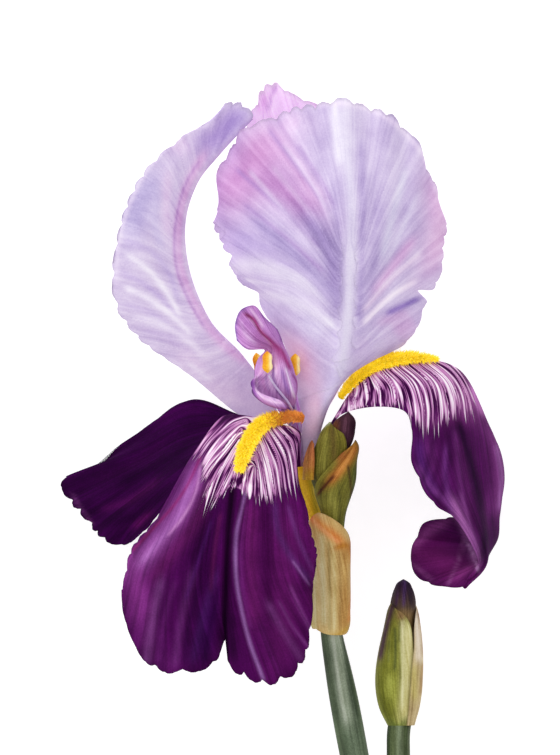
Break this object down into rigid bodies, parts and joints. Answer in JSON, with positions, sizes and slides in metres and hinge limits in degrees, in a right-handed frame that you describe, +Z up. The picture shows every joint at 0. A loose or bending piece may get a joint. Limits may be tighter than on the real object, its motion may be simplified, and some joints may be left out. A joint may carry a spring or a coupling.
{
  "type": "bearded iris flowering stem",
  "caption": "Cut flowering stem of a two-tone bearded iris with one open bloom, a bud in its spathe and a budded side branch, lying face up.",
  "frame": {"origin": "centre of the bounding box in X and Y, on the table surface that the flower rests on", "axes": "+Z up from the table, +Y along the stem towards the flower, +X to the right seen from above"},
  "size_m": [0.112, 0.2441, 0.0582],
  "materials": {
    "standard": "matte",
    "fall": "matte",
    "beard": "matte",
    "style": "matte",
    "filament": "matte",
    "anther": "matte",
    "tube": "matte",
    "stem": "matte",
    "spathe": "matte",
    "papery": "matte",
    "bract": "matte",
    "bud_petal": "matte"
  },
  "bodies": {
    "root": {"standard_right": "standard", "standard_left": "standard", "standard_back": "standard", "fall_front": "fall", "fall_right": "fall", "fall_left": "fall", "beard_front": "beard", "beard_right": "beard", "beard_left": "beard", "style_front": "style", "style_right": "style", "style_left": "style", "filament_front": "filament", "filament_right": "filament", "filament_left": "filament", "anther_front": "anther", "anther_right": "anther", "anther_left": "anther", "tube_and_ovary": "tube", "stem": "stem", "spathe_valve": "spathe", "bud_bract_outer": "papery", "bud_scale": "papery", "side_bud_bract_right": "papery", "bud_stalk": "bract", "bud_bract_inner": "bract", "side_bud_bract_left": "bract", "branch_bract": "bract", "bud_petals": "bud_petal", "side_bud_petals": "bud_petal"}
  },
  "joints": []
}
